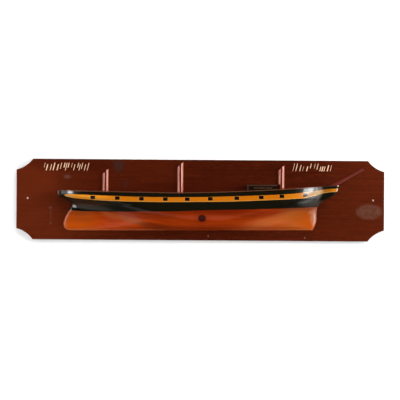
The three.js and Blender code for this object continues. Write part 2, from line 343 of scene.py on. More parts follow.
def copy_of_node(node, name):
    """A CAD node's mesh as a new piece, with its corners joined and its flat faces whole."""
    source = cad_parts[node]
    piece = bpy.data.objects.new(name, source.data.copy())
    bpy.context.collection.objects.link(piece)
    select_only(piece)
    bpy.ops.object.mode_set(mode="EDIT")
    bpy.ops.mesh.select_all(action="SELECT")
    bpy.ops.mesh.remove_doubles(threshold=0.00001)
    bpy.ops.mesh.dissolve_limited(angle_limit=math.radians(0.5))
    bpy.ops.object.mode_set(mode="OBJECT")
    return piece


def apply_modifier(piece, kind, **settings):
    modifier = piece.modifiers.new(kind.lower(), kind)
    for name, value in settings.items():
        setattr(modifier, name, value)
    bpy.context.view_layer.objects.active = piece
    bpy.ops.object.modifier_apply(modifier=modifier.name)


def ease_edges(piece, width, segments, degrees):
    """Rounds the edges that turn by more than this."""
    limit = math.radians(degrees)
    apply_modifier(
        piece, "BEVEL", width=width, segments=segments, limit_method="ANGLE", angle_limit=limit
    )


def smooth_faces(piece, degrees):
    """Smooth shading, but across edges that turn by more than this."""
    select_only(piece)
    bpy.ops.object.shade_smooth_by_angle(angle=math.radians(degrees))


board_edge_ease = 0.0012
backboard = copy_of_node("backboard", "varnished_backboard")
ease_edges(backboard, board_edge_ease, 3, 60)
smooth_faces(backboard, 35)
apply_modifier(backboard, "WEIGHTED_NORMAL", keep_sharp=True, weight=100)

mahogany = Finish("stained_mahogany")
point = mahogany.place()
x, y, z = mahogany.parts(point)
grain = mahogany.noise(mahogany.stretched(point, (1.6, 30, 42)), 4.5, 6, 0.62)
pores = mahogany.noise(mahogany.stretched(point, (9, 90, 260)), 5, 3, 0.6)
cloud = mahogany.noise(mahogany.stretched(point, (1, 1, 2.2)), 5.5, 2)
mottle = mahogany.noise(point, 55, 3, 0.6)
ends = x.rise(-0.25, -0.6) + x.rise(0.3, 0.62) * 0.4
wood = mahogany.blend(grain.rise(0.3, 0.72), (0.046, 0.0055, 0.0010), (0.092, 0.0115, 0.0024))
wood = mahogany.blend(pores.rise(0.35, 0.62), (0.030, 0.0038, 0.0008), wood)
wood = mahogany.blend(ends * (0.28 + cloud * 0.58), wood, (0.118, 0.0180, 0.0042))
lighter_top = z.rise(0.0, 0.1) * x.rise(0.02, -0.12)
wood = mahogany.blend(lighter_top * 0.22, wood, (0.105, 0.0120, 0.0020))
# Darker towards the bow's top corner and round the row over the stern, and a painted shade just above
# the hull
dark_patches_and_shade = mahogany.spots(x, z, [
    ((0.010, 0.042), (0.190, 0.024), 0.8, 0.35),
    ((0.220, 0.110), (0.260, 0.045), 0.8, 0.15),
    ((-0.420, 0.122), (0.150, 0.030), 0.8, 0.6),
])
wood = mahogany.blend(dark_patches_and_shade, wood, (0.040, 0.0040, 0.0008))
# Two dark smudges beside the mizzen stump, with an uneven outline
smudge = mahogany.spots(x + mottle * 0.03, z + mottle * 0.02, [
    ((-0.256, 0.122), (0.017, 0.023), 0.8, 1),
    ((-0.231, 0.064), (0.009, 0.014), 0.8, 0.6),
])
smudge = smudge * (0.25 + mottle.rise(0.35, 0.65) * 0.45)
# Pale blooms in the varnish: one below the stern's row, two joined by a line, and two small specks
bloom = mahogany.spots(x, z, [
    ((-0.4415, 0.0745), (0.0115, 0.0068), 0.9, 0.24),
    ((-0.497, -0.028), (0.005, 0.004), 0.9, 0.22),
    ((-0.496, -0.080), (0.004, 0.003), 0.9, 0.22),
    ((-0.4955, -0.052), (0.0022, 0.025), 0.5, 0.11),
    ((0.027, -0.119), (0.0022, 0.0022), 0.9, 0.9),
    ((0.347, -0.123), (0.0022, 0.0022), 0.9, 0.9),
])
# A scratch below the hull, and a rubbed place at the bow end. All these marks are on the front alone
scratch = mahogany.spot(x, z, (0.3455, -0.111), (0.0014, 0.006), 0.5)
rubbed = mahogany.spot(x + mottle * 0.02, z + mottle * 0.012, (0.571, -0.029), (0.041, 0.024), 0.5)
on_face = y.rise(-0.012, -0.016)
rubbed = rubbed * (0.28 + mottle.rise(0.35, 0.6) * 0.4) * on_face
wood = mahogany.blend(smudge * on_face, wood, (0.033, 0.019, 0.016))
wood = mahogany.blend(bloom * on_face, wood, (0.19, 0.11, 0.095))
wood = mahogany.blend(scratch * on_face * 0.7, wood, (0.02, 0.004, 0.002))
wood = mahogany.blend(rubbed, wood, (0.100, 0.046, 0.029))
mahogany.surface(
    Base_Color=wood,
    Roughness=0.4 + rubbed * 0.3,
    Specular_IOR_Level=0.04,
    Coat_Weight=0.4,
    Coat_Roughness=0.03,
)
mahogany.bump(pores * 0.4 + grain * 0.3, 0.00003)
wear(backboard, mahogany)
stand_for(backboard, "backboard")

# The hull
# Carved from one block of pine, with its keel, rudder, counter, stem and bulwark, and a deck sunk
# behind the bulwark. It is varnished below the waterline, and painted black and ochre above.
keel_thickness = 0.005
keel_depth = 0.006
keel_flat_width = 0.0015
keel_rounding = 0.004
keel_aft = -0.1035
keel_fore = -0.0975
sheer_low_x = -0.080
sheer_low = 0.0247
sheer_stern = 0.0302
sheer_bow = 0.052
sheer_fore_power = 1.6
sheer_aft_power = 1.3
rail_thickness = 0.003
glue_gap = 0.0003
heel = (-0.428, keel_aft)
rudder_edge = [(-0.440, -0.102), (-0.448, -0.097), (-0.452, -0.089), (-0.453, -0.079), (-0.4505, -0.068),
               (-0.4465, -0.057), (-0.438, -0.042)]
knuckle = (-0.422, -0.0175)
counter_edge = [(-0.438, -0.0075), (-0.457, 0.0025), (-0.468, 0.0075), (-0.4725, 0.015)]
taffrail = (-0.473, 0.027)
forefoot = (0.372, keel_fore)
stem_edge = [(0.3815, -0.080), (0.385, -0.060), (0.385, -0.040), (0.388, -0.022), (0.3945, -0.009),
             (0.412, 0.003), (0.435, 0.014), (0.451, 0.027)]
beak = (0.459, 0.0485)
body_foot = (0.369, keel_fore)
body_stem_edge = [(0.378, -0.080), (0.382, -0.060), (0.3825, -0.040), (0.385, -0.022), (0.3895, -0.010),
                  (0.395, 0.003), (0.400, 0.016), (0.403, 0.030)]
body_stem_head = (0.405, 0.048)
run_low = 0.520
run_high = 0.200
entrance_low = 0.400
entrance_high = 0.150
edge_rounding = 0.012
bilge_top_share = 0.6
tumblehome_share = 0.05
bow_hollow_share = 0.8
run_shares = (0.05, 0.8)
entrance_shares = (0, 0.7)
stern_round_shares = (0.5, 0.95)
bow_round_shares = (0.2, 0.8)
bilge_power = 2.4
stern_power = 3
bow_power = 2.2
bulwark_thickness = 0.004
bulwark_end_thickness = 0.0064
bulwark_end_length = 0.060
deck_drop = 0.012
deck_aft = -0.462
deck_fore = 0.396
hollow_steps = 120
behind_board = 0.05

hull_half_width = board_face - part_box("hull")[0].y


def smooth(start, end, value):
    share = np.clip((value - start) / (end - start), 0, 1)
    return share * share * (3 - 2 * share)


def mix(first, second, share):
    return first + (second - first) * share


def rail_top(x):
    forward = np.clip((x - sheer_low_x) / (beak[0] - sheer_low_x), 0, None) ** sheer_fore_power
    aft = np.clip((sheer_low_x - x) / (sheer_low_x - taffrail[0]), 0, None) ** sheer_aft_power
    return sheer_low + (sheer_bow - sheer_low) * forward + (sheer_stern - sheer_low) * aft


def bulwark_top(x):
    return rail_top(x) - rail_thickness - glue_gap


def keel_bottom(x):
    return mix(keel_aft, keel_fore, (x - heel[0]) / (forefoot[0] - heel[0]))


def height_share(x, z):
    return (z - keel_bottom(x)) / (bulwark_top(x) - keel_bottom(x))


def curve_through(points, steps=60):
    """Many points on a smooth curve through a few."""
    ends = [points[0], *points, points[-1]]
    path = []
    for before, start, end, after in zip(ends, ends[1:], ends[2:], ends[3:]):
        before, start, end, after = (np.array(point) for point in (before, start, end, after))
        leaving = (end - before) / 2
        arriving = (after - start) / 2
        for step in range(steps):
            share = step / steps
            path.append(
                start
                + leaving * share
                + (3 * (end - start) - 2 * leaving - arriving) * share ** 2
                + (2 * (start - end) + leaving + arriving) * share ** 3
            )
    path.append(np.array(points[-1]))
    return np.array(path)


def edge_finder(points):
    path = curve_through(points)
    shares = height_share(path[:, 0], path[:, 1])
    return lambda share: np.interp(share, shares, path[:, 0])


knuckle_share = height_share(*knuckle)
rudder_x = edge_finder([heel, *rudder_edge, knuckle])
counter_x = edge_finder([knuckle, *counter_edge, taffrail])
fore_edge_x = edge_finder([forefoot, *stem_edge, beak])
body_stem_x = edge_finder([body_foot, *body_stem_edge, body_stem_head])


def aft_edge_x(share):
    return np.where(share < knuckle_share, rudder_x(share), counter_x(share))


def round_swell(distance, length, power=2):
    return (1 - (1 - np.clip(distance / length, 0, 1)) ** power) ** (1 / power)


def midship(share):
    keel_share = keel_depth / (bulwark_top(0) - keel_bottom(0))
    bilge = round_swell(share - keel_share, bilge_top_share - keel_share, bilge_power)
    topside = np.clip((share - bilge_top_share) / (1 - bilge_top_share), 0, 1)
    return bilge - tumblehome_share * topside ** 2


def width_at(x, share):
    """How far the hull stands out from the board at x and a share of its height."""
    from_stern = x - aft_edge_x(share)
    from_stem = fore_edge_x(share) - x
    from_body_stem = body_stem_x(share) - x
    run = mix(run_low, run_high, smooth(*run_shares, share))
    entrance = mix(entrance_low, entrance_high, smooth(*entrance_shares, share))
    stern_round = smooth(*stern_round_shares, share)
    bow_round = mix(1 - bow_hollow_share, 1, smooth(*bow_round_shares, share))
    stern = mix(smooth(0, run, from_stern), round_swell(from_stern, run, stern_power), stern_round)
    bow = mix(
        smooth(0, entrance, from_body_stem),
        round_swell(from_body_stem, entrance, bow_power),
        bow_round,
    )
    above_keel = share * (bulwark_top(x) - keel_bottom(x))
    plate = mix(keel_flat_width, keel_thickness, round_swell(above_keel, keel_rounding)) * np.minimum(
        round_swell(from_stern, edge_rounding), round_swell(from_stem, edge_rounding)
    )
    return plate + (hull_half_width - keel_thickness) * midship(share) * stern * bow


def bunched(places):
    """Places from 0 to 1, moved closer together near both ends."""
    return mix(places, (1 - np.cos(math.pi * places)) / 2, station_bunching)


body_stations = 380
head_stations = 30
stations = body_stations + head_stations
station_bunching = 0.9
rows = 110
row_power = 1.6
row_bunching = 0.7
bpy.ops.mesh.primitive_grid_add(x_subdivisions=stations, y_subdivisions=rows, size=2)
hull = bpy.context.object
hull.name = "carved_hull"
grid = np.zeros(len(hull.data.vertices) * 3)
hull.data.vertices.foreach_get("co", grid)
grid = grid.reshape(-1, 3)
station = (grid[:, 0] + 1) / 2 * stations
up = (grid[:, 1] + 1) / 2
up = mix(up, up ** row_power, row_bunching)
along_body = np.clip(station / body_stations, 0, 1)
along_head = np.clip((station - body_stations) / head_stations, 0, 1)
hull_x = mix(aft_edge_x(up), body_stem_x(up), bunched(along_body))
hull_x = mix(hull_x, fore_edge_x(up), np.sin(math.pi / 2 * along_head))
hull_z = mix(keel_bottom(hull_x), bulwark_top(hull_x), up)
hull_y = board_face - width_at(hull_x, up)
hull.data.vertices.foreach_set("co", np.column_stack([hull_x, hull_y, hull_z]).ravel())
bpy.ops.object.mode_set(mode="EDIT")
bpy.ops.mesh.select_mode(type="EDGE")
bpy.ops.mesh.select_all(action="DESELECT")
bpy.ops.mesh.select_non_manifold()
bpy.ops.mesh.extrude_region_move()
bpy.ops.transform.resize(value=(1, 0, 1), center_override=(0, board_face, 0))
bpy.ops.mesh.edge_face_add()
bpy.ops.mesh.select_all(action="SELECT")
bpy.ops.mesh.remove_doubles(threshold=0.000001)
bpy.ops.mesh.normals_make_consistent(inside=False)
bpy.ops.object.mode_set(mode="OBJECT")


def loft(name, rings):
    """A closed piece through rings of points that all have the same count."""
    skin = np.array([[*ring, ring[0]] for ring in rings])
    along, around = skin.shape[:2]
    bpy.ops.mesh.primitive_grid_add(x_subdivisions=around - 1, y_subdivisions=along - 1)
    piece = bpy.context.object
    piece.name = name
    piece.data.vertices.foreach_set("co", skin.ravel())
    bpy.ops.object.mode_set(mode="EDIT")
    bpy.ops.mesh.select_all(action="SELECT")
    bpy.ops.mesh.remove_doubles(threshold=0.000001)
    bpy.ops.mesh.select_all(action="SELECT")
    bpy.ops.mesh.fill_holes(sides=0)
    bpy.ops.mesh.normals_make_consistent(inside=False)
    bpy.ops.object.mode_set(mode="OBJECT")
    return piece


def remove(piece):
    bpy.data.objects.remove(piece, do_unlink=True)


deck_varnish = Finish("deck_varnish")
deck_grain = deck_varnish.noise(deck_varnish.stretched(deck_varnish.place(), (2, 60, 60)), 6, 4)
deck_varnish.surface(
    Base_Color=deck_varnish.blend(deck_grain, (0.20, 0.075, 0.022), (0.30, 0.13, 0.045)),
    Roughness=0.45,
)

hollow_rings = []
for step in range(hollow_steps + 1):
    x_here = mix(deck_aft, deck_fore, bunched(step / hollow_steps))
    from_end = min(x_here - deck_aft, deck_fore - x_here)
    inset = mix(bulwark_end_thickness, bulwark_thickness, smooth(0, bulwark_end_length, from_end))
    inner = board_face - width_at(x_here, 1.0) + inset
    deck_here = bulwark_top(x_here) - deck_drop
    above = bulwark_top(x_here) + 2 * deck_drop
    hollow_rings.append([
        (x_here, behind_board, above),
        (x_here, inner, above),
        (x_here, inner, deck_here),
        (x_here, behind_board, deck_here),
    ])
deck_hollow = loft("deck_hollow", hollow_rings)
wear(deck_hollow, deck_varnish)
pine = Finish("painted_and_varnished_pine")
wear(hull, pine)
apply_modifier(
    hull, "BOOLEAN", operation="DIFFERENCE", object=deck_hollow, solver="EXACT", material_mode="TRANSFER"
)
remove(deck_hollow)
smooth_faces(hull, 40)

# Heights of the paint's edges along the hull, and the middles of the painted ports
strake_head = [(-0.449, 0.0140), (-0.442, 0.0158), (-0.425, 0.0163), (-0.400, 0.0155), (-0.345, 0.0135),
               (-0.300, 0.0122), (-0.200, 0.0093), (-0.100, 0.0088), (0.000, 0.0098), (0.050, 0.0112),
               (0.100, 0.0130), (0.150, 0.0147), (0.200, 0.0170), (0.250, 0.0193), (0.300, 0.0227),
               (0.330, 0.0261), (0.395, 0.0354), (0.425, 0.0397), (0.460, 0.0415)]
strake_foot = [(-0.449, 0.0140), (-0.444, 0.0106), (-0.437, 0.0081), (-0.425, 0.0054), (-0.400, 0.0022),
               (-0.345, -0.0025), (-0.300, -0.0045), (-0.200, -0.0066), (-0.100, -0.0070),
               (0.000, -0.0057), (0.050, -0.0050), (0.100, -0.0040), (0.150, -0.0019), (0.200, 0.0002),
               (0.250, 0.0026), (0.300, 0.0056), (0.335, 0.0082), (0.372, 0.0158), (0.395, 0.0222),
               (0.425, 0.0287), (0.460, 0.0312)]
waterline = [(-0.470, -0.036), (-0.425, -0.037), (-0.392, -0.039), (-0.345, -0.040), (-0.250, -0.040),
             (-0.200, -0.0385), (-0.100, -0.038), (-0.050, -0.0365), (0.000, -0.034), (0.050, -0.0325),
             (0.100, -0.031), (0.150, -0.030), (0.200, -0.028), (0.250, -0.0267), (0.300, -0.0243),
             (0.350, -0.0220), (0.400, -0.0202), (0.460, -0.017)]
ports = [(-0.3525, 0.0062), (-0.2718, 0.0045), (-0.193, 0.0028), (-0.1145, 0.0023), (-0.0427, 0.0024),
         (0.0328, 0.0042), (0.1195, 0.0068), (0.1997, 0.0102), (0.267, 0.0140), (0.3445, 0.0192)]
port_half_width = 0.0078
port_half_height = 0.0058
port_line_width = 0.0010
foot_line_width = 0.0012
paint_wobble = 0.0012
paint_softness = 0.0004
port_softness = 0.0003
knot_x = 0.006
knot_z = -0.0595

skin = np.zeros(len(hull.data.vertices) * 3)
hull.data.vertices.foreach_get("co", skin)
skin_x, _, skin_z = skin.reshape(-1, 3).T


def height_on(line):
    path = curve_through(line)
    return np.interp(skin_x, path[:, 0], path[:, 1])


def store(name, values):
    layer = hull.data.attributes.new(name, "FLOAT", "POINT")
    layer.data.foreach_set("value", values.astype(np.float32))


port_places = np.array(ports)
nearest_port = np.abs(skin_x[:, None] - port_places[:, 0]).argmin(axis=1)
store("above_foot", skin_z - height_on(strake_foot))
store("below_head", height_on(strake_head) - skin_z)
store("above_water", skin_z - height_on(waterline))
store("above_keel", skin_z - keel_bottom(skin_x))
skin_share = height_share(skin_x, skin_z)
store("from_outline", np.minimum(skin_x - aft_edge_x(skin_share), fore_edge_x(skin_share) - skin_x))
store("beside_port", np.abs(skin_x - port_places[nearest_port, 0]))
store("above_port", np.abs(skin_z - port_places[nearest_port, 1]))

point = pine.place()
x, y, z = pine.parts(point)
above_foot = pine.attribute("above_foot")
below_head = pine.attribute("below_head")
above_water = pine.attribute("above_water")
above_keel = pine.attribute("above_keel")
from_outline = pine.attribute("from_outline")
port_edge = (pine.attribute("beside_port") - port_half_width).at_least(
    pine.attribute("above_port") - port_half_height
)
brush = pine.noise(point, 60, 3)
wobble = (brush - 0.5) * paint_wobble
in_strake = (above_foot.at_most(below_head) + wobble * 0.5).rise(-paint_softness, paint_softness)
foot_line = (above_foot + wobble * 0.5).rise(foot_line_width + 2 * paint_softness, foot_line_width)
bare_end = x.rise(0.4515, 0.4525)
in_port = port_edge.rise(port_softness, -port_softness)
port_line = port_edge.rise(port_line_width + paint_softness, port_line_width)
dry = (above_water + wobble).rise(-paint_softness, paint_softness)

# The bare pine is streaked along, dark in the middle and lighter to both ends, and lighter low down,
# painted light from below. It darkens round its one knot
streaks = pine.noise(pine.stretched(point, (1.4, 16, 22)), 5, 5, 0.6)
figure = pine.noise(pine.stretched(point, (0.7, 3, 5), (2, 0, 0)), 7, 3)
knot_reach = ((x - knot_x) ** 2 + ((z - knot_z) * 1.15) ** 2) ** 0.5 + (brush - 0.5) * 0.003
knot_ring = knot_reach.rise(0.0148, 0.0112) * (0.6 + knot_reach.rise(0.001, 0.004) * 0.4)
round_knot = knot_reach.rise(0.034, 0.012)
lit_low_and_lighter_ends = (z.rise(-0.038, -0.075) * 0.8 + x.magnitude().rise(0.08, 0.36) * 0.7).at_most(1)
dark_pine = pine.blend(streaks.rise(0.3, 0.7), (0.090, 0.0045, 0.0001), (0.135, 0.0080, 0.0002))
light_pine = pine.blend(streaks.rise(0.3, 0.7), (0.35, 0.030, 0.0002), (0.47, 0.050, 0.0006))
wood = pine.blend(lit_low_and_lighter_ends, dark_pine, light_pine)
wood = pine.blend(figure.rise(0.35, 0.7) * 0.2, wood, (0.30, 0.040, 0.001))
# Painted sheen in two slanting bands and a patch low at the bow, and painted shade low abaft the middle
bow_band = z + 0.095 - (x - 0.130) * 0.27 + (figure - 0.5) * 0.012
bow_sheen_band = bow_band.magnitude().rise(0.024, 0.006) * x.rise(0.10, 0.20) * x.rise(0.360, 0.290)
wood = pine.blend(bow_sheen_band * 0.55, wood, (0.50, 0.130, 0.030))
low_bow_sheen = pine.spot(x - z * 0.6, z, (0.310, -0.080), (0.068, 0.014), 0.8)
wood = pine.blend(low_bow_sheen * 0.2, wood, (0.46, 0.150, 0.042))
stern_band = z + 0.045 + (x + 0.320) * 0.24 + (figure - 0.5) * 0.008
stern_sheen_band = stern_band.magnitude().rise(0.015, 0.003) * x.rise(-0.345, -0.31) * x.rise(-0.16, -0.21)
wood = pine.blend(stern_sheen_band * 0.4, wood, (0.42, 0.120, 0.034))
shaded_streak = pine.spot(x, z + (x + 0.150) * 0.15, (-0.150, -0.088), (0.056, 0.012), 0.8)
wood = pine.blend(shaded_streak * 0.5, wood, (0.060, 0.006, 0.001))
# The wood is darker in the run, yellower at both ends, and shaded under the bow's paint
darker_run = x.rise(-0.17, -0.25) * z.rise(-0.085, -0.070)
wood = pine.blend(darker_run * 0.16, wood, (0.16, 0.014, 0.0004))
yellower_ends = x.rise(0.24, 0.31) + x.rise(-0.32, -0.38) * 0.7
wood = pine.blend(yellower_ends * 0.5, wood, (0.31, 0.075, 0.002))
bow_shade = above_water.rise(-0.016, -0.002) * x.rise(0.24, 0.30)
wood = pine.blend(bow_shade * 0.6, wood, (0.13, 0.030, 0.012))
wood = pine.blend(round_knot * 0.35, wood, (0.13, 0.012, 0.001))
wood = pine.blend(knot_ring, wood, (0.030, 0.003, 0.002))
# The rudder's edge and the stem are paler, painted highlights
rudder_rim_highlight = from_outline.rise(0.015, 0.002) * x.rise(-0.40, -0.43)
wood = pine.blend(rudder_rim_highlight * 0.35, wood, (0.42, 0.140, 0.065))
# The keel's foot is paler towards its ends, a painted highlight, and darker in the middle, a painted
# shade
keel_shade_and_highlight = pine.blend(x.magnitude().rise(0.05, 0.2), (0.12, 0.014, 0.002), (0.27, 0.075, 0.024))
along_keel = above_keel.rise(0.009, 0.003)
wood = pine.blend(along_keel * 0.55, wood, keel_shade_and_highlight)
stem_highlight = pine.spot(x - z * 0.08, z, (0.381, -0.053), (0.011, 0.026), 0.9)
wood = pine.blend(stem_highlight * 0.27, wood, (0.25, 0.29, 0.22))

# Black gloss paint, paler at the bow and in the throat under the head with a painted sheen
black = pine.blend(brush, (0.0028, 0.0024, 0.0006), (0.0048, 0.0038, 0.0010))
black_bow_sheen = pine.spot(x - z * 0.4, z, (0.367, -0.007), (0.038, 0.013), 0.9)
black = pine.blend(black_bow_sheen * 0.6, black, (0.050, 0.048, 0.042))
black_throat_sheen = pine.spot(x - z * 0.2, z, (0.387, 0.029), (0.013, 0.022), 0.9)
black = pine.blend(black_throat_sheen * 0.75, black, (0.085, 0.078, 0.074))
# The ochre strake is brighter astern and at the bow, and dull where the head's throat shades it
ochre = pine.blend(figure, (0.37, 0.092, 0.0010), (0.43, 0.128, 0.0020))
brighter_quarter = x.rise(-0.24, -0.4)
ochre = pine.blend(brighter_quarter * 0.9, ochre, (0.80, 0.29, 0.012))
brighter_bow = x.rise(0.24, 0.32) * x.rise(0.36, 0.33)
ochre = pine.blend(brighter_bow * 0.3, ochre, (0.50, 0.180, 0.004))
on_knee = x.rise(0.40, 0.41)
ochre = pine.blend(on_knee, ochre, (0.40, 0.130, 0.003))
ochre = pine.blend(on_knee * x.rise(0.442, 0.428), ochre, (0.27, 0.085, 0.006))
# The strake's aft end is paler, a painted highlight
stern_strake_highlight = x.rise(-0.405, -0.435)
ochre = pine.blend(stern_strake_highlight, ochre, (0.72, 0.330, 0.085))
shaded_throat = x.rise(0.346, 0.356) * x.rise(0.402, 0.388)
ochre = pine.blend(shaded_throat * 0.55, ochre, (0.10, 0.105, 0.018))
# The strake is paler in the head's throat, a painted highlight
ochre_throat_highlight = x.rise(0.380, 0.390) * x.rise(0.412, 0.402)
ochre = pine.blend(ochre_throat_highlight * 0.6, ochre, (0.44, 0.36, 0.19))
# A light line is drawn at the strake's foot and round each dark port, and the head's end is bare
trim = (0.64, 0.34, 0.075)
strake = pine.blend(foot_line * 0.5, ochre, trim)
strake = pine.blend(port_line * 0.25, strake, trim)
strake = pine.blend(in_port, strake, (0.004, 0.001, 0.0005))
strake = pine.blend(bare_end, strake, (0.62, 0.42, 0.22))
paint = pine.blend(in_strake, black, strake)
# The taffrail's end is paler, a painted highlight, and the knuckle's corner has a pale spot
taffrail_highlight = x.rise(-0.4655, -0.4690) * (0.35 + z.rise(0.010, 0.018) * 0.65)
paint = pine.blend(taffrail_highlight, paint, (0.33, 0.21, 0.15))
pale_corner_spot = pine.spot(x + z * 0.5, z, (-0.4285, -0.0228), (0.0066, 0.0054), 0.9)
paint = pine.blend(pale_corner_spot, paint, (0.42, 0.40, 0.38))
# Under the counter the black is greener and dull, and below it lies a band of painted sheen
under_counter = pine.spot(x, z + x * 0.12, (-0.375, -0.050), (0.100, 0.014), 0.5) * (1 - in_strake)
paint = pine.blend(under_counter, paint, (0.010, 0.011, 0.006))
black_run_sheen = pine.spot(x, z + x * 0.12, (-0.362, -0.0690), (0.062, 0.0095), 0.9) * (1 - in_strake)
paint = pine.blend(black_run_sheen * 0.8 * (1 - pale_corner_spot), paint, (0.040, 0.034, 0.028))
# Rubbed and shaded places, the counter's underside and the stem's painted highlight shine less
rubbed_rim = y.rise(-0.0228, -0.0214) * x.magnitude().rise(0.37, 0.38)
dull_throat = pine.spot(x, z, (0.372, 0.008), (0.038, 0.011), 0.9) * (1 - in_strake)
worn_middle = x.magnitude().rise(0.26, 0.12) * (1 - dry)
dull = rubbed_rim + under_counter + stem_highlight * 0.4 + shaded_throat * in_strake * 0.2
dull = (dull + dull_throat * 0.45 + worn_middle * 0.55 + knot_ring * 0.3).at_most(1)
pine.surface(
    Base_Color=pine.blend(dry, wood, paint),
    Roughness=0.32 + rubbed_rim * 0.3,
    Specular_IOR_Level=0.12,
    Coat_Weight=0.9 - dull * 0.75,
    Coat_Roughness=0.13,
)
pine.bump(streaks * 0.35 + brush * 0.2, 0.00005)
stand_for(hull, "hull")

# The cap rail
# A thin strip of light wood with rounded edges, bent along the bulwark's top from the board round the
# stern and the bow, and on along the head, where it is painted black but for its bare end.
rail_width = 0.0055
rail_overhang = 0.0008
rail_rounding = 0.0009
corner_turns = (0, 0.52, 1.05, 1.57)
head_rail_rounding = 0.00072
rail_paint_start = 0.400
rail_end_start = 0.4535
rail_points = 321
head_points = 40

corner = [
    (rail_rounding * (1 - math.cos(turn)), rail_rounding * (1 - math.sin(turn)))
    for turn in corner_turns
]
profile = (
    [(rail_overhang - inset, rail_thickness - drop) for inset, drop in corner]
    + [(rail_overhang - rail_width + inset, rail_thickness - drop) for inset, drop in reversed(corner)]
    + [(rail_overhang - rail_width + inset, drop) for inset, drop in corner]
    + [(rail_overhang - inset, drop) for inset, drop in reversed(corner)]
)


def rail_strip(name, path, first_outward):
    """A strip of rail along a path in plan, following the sheer in height."""
    run_of_path = np.gradient(path, axis=0)
    run_of_path /= np.linalg.norm(run_of_path, axis=1)[:, None]
    outward = np.column_stack([run_of_path[:, 1], -run_of_path[:, 0]])
    outward[0] = first_outward
    return loft(name, [
        [
            (
                spot[0] + side[0] * across,
                min(spot[1] + side[1] * across, board_face),
                bulwark_top(spot[0]) + glue_gap + lift,
            )
            for across, lift in profile
        ]
        for spot, side in zip(path, outward)
    ])


body_fore = float(body_stem_x(1.0))
round_x = mix(float(aft_edge_x(1.0)), body_fore, bunched(np.linspace(0, 1, rail_points)))
round_path = np.column_stack([round_x, board_face - width_at(round_x, np.ones_like(round_x))])
round_path = np.vstack([round_path, [body_fore, board_face]])
cap_rail = rail_strip("light_cap_rail", round_path, (-1, 0))


def over_head(name, bottom, top, reach):
    """A piece along the thin head, from the board's face to a little beyond the head's side."""
    rings = []
    for place in np.sin(math.pi / 2 * np.linspace(0, 1, head_points)):
        x_here = mix(body_fore - rail_width, beak[0], place)
        outer = board_face - width_at(max(x_here, body_fore), 1.0) - reach
        rings.append([
            (x_here, outer, bottom(x_here)),
            (x_here, board_face, bottom(x_here)),
            (x_here, board_face, top(x_here)),
            (x_here, outer, top(x_here)),
        ])
    return loft(name, rings)


head_rail = over_head("head_rail", lambda x: bulwark_top(x) + glue_gap, rail_top, rail_overhang)
ease_edges(head_rail, head_rail_rounding, 3, 60)
apply_modifier(cap_rail, "BOOLEAN", operation="UNION", object=head_rail, solver="EXACT")
remove(head_rail)
smooth_faces(cap_rail, 35)

light_wood = Finish("light_rail_wood")
point = light_wood.place()
x, _, _ = light_wood.parts(point)
light_grain = light_wood.noise(light_wood.stretched(point, (2, 30, 30)), 12, 4)
strip = light_wood.blend(light_grain, (0.060, 0.018, 0.006), (0.100, 0.035, 0.013))
on_head = x.rise(rail_paint_start - 0.002, rail_paint_start + 0.002)
strip = light_wood.blend(on_head, strip, (0.012, 0.009, 0.005))
at_end = x.rise(rail_end_start - 0.001, rail_end_start + 0.001)
light_wood.surface(
    Base_Color=light_wood.blend(at_end, strip, (0.40, 0.28, 0.17)),
    Roughness=0.35,
    Coat_Weight=0.4,
    Coat_Roughness=0.12,
)
wear(cap_rail, light_wood)
stand_for(cap_rail, "cap_rail")

# The mast stumps
# Three half rounds of red mahogany, glued to the board and standing on the deck. They are sawn
# off at a slant on top, and their gloss varnish takes a bright stripe from each side light.
mast_radius = 0.0105
mast_slant = math.radians(42)
mast_edge_ease = 0.0004
mast_blank_length = 0.4
slope_reach = 0.01
dark_line_shift = 0.0008
# Each stump's place along the board, and the height of its top in the middle
masts = {
    "mizzen_stump": (-0.315, 0.093),
    "main_stump": (-0.067, 0.1165),
    "fore_stump": (0.268, 0.109),
}


def cut_flat(piece, place, direction):
    """Cuts away what lies beyond a plane, on the side its direction points to, and closes the cut."""
    select_only(piece)
    bpy.ops.object.mode_set(mode="EDIT")
    bpy.ops.mesh.select_all(action="SELECT")
    bpy.ops.mesh.bisect(plane_co=place, plane_no=direction, use_fill=True, clear_outer=True)
    bpy.ops.object.mode_set(mode="OBJECT")


def deck_floor(x):
    """The height of the deck and a glue gap over it."""
    return bulwark_top(x) - deck_drop + glue_gap


def cut_at_deck(piece, place_x, aft, fore):
    """Cuts off what reaches below the deck at a place, along the deck's slope from aft to fore."""
    slope = (deck_floor(fore) - deck_floor(aft)) / (fore - aft)
    cut_flat(piece, (place_x, board_face, deck_floor(place_x)), (slope, 0, -1))


red_mahogany = Finish("red_mahogany")
point = red_mahogany.place()
x, _, z = red_mahogany.parts(point)
red_grain = red_mahogany.noise(red_mahogany.stretched(point, (60, 60, 3)), 8, 4, 0.6)
red = red_mahogany.blend(red_grain, (0.090, 0.0100, 0.0045), (0.125, 0.0160, 0.0070))
mizzen_line, main_line, fore_line = (
    (x - (mast_x + dark_line_shift)).magnitude() for mast_x, _ in masts.values()
)
# Each stump is paler away from its middle line, painted light on its rounded sides
lit_stump_sides = mizzen_line.at_most(main_line).at_most(fore_line).rise(0.0016, 0.0052)
red = red_mahogany.blend(lit_stump_sides, red, (0.38, 0.080, 0.034))
# The fore stump is dull and dark where the house stands close to it, a painted shade
house_shade_on_stump = x.rise(0.2655, 0.2640) * x.rise(0.250, 0.2501) * z.rise(0.0570, 0.0520)
red_mahogany.surface(
    Base_Color=red_mahogany.blend(house_shade_on_stump * 0.9, red, (0.012, 0.002, 0.001)),
    Roughness=0.3,
    Specular_IOR_Level=0,
    Coat_Weight=0.66 + lit_stump_sides * 0.24 - house_shade_on_stump * 0.62,
    Coat_Roughness=0.085,
)

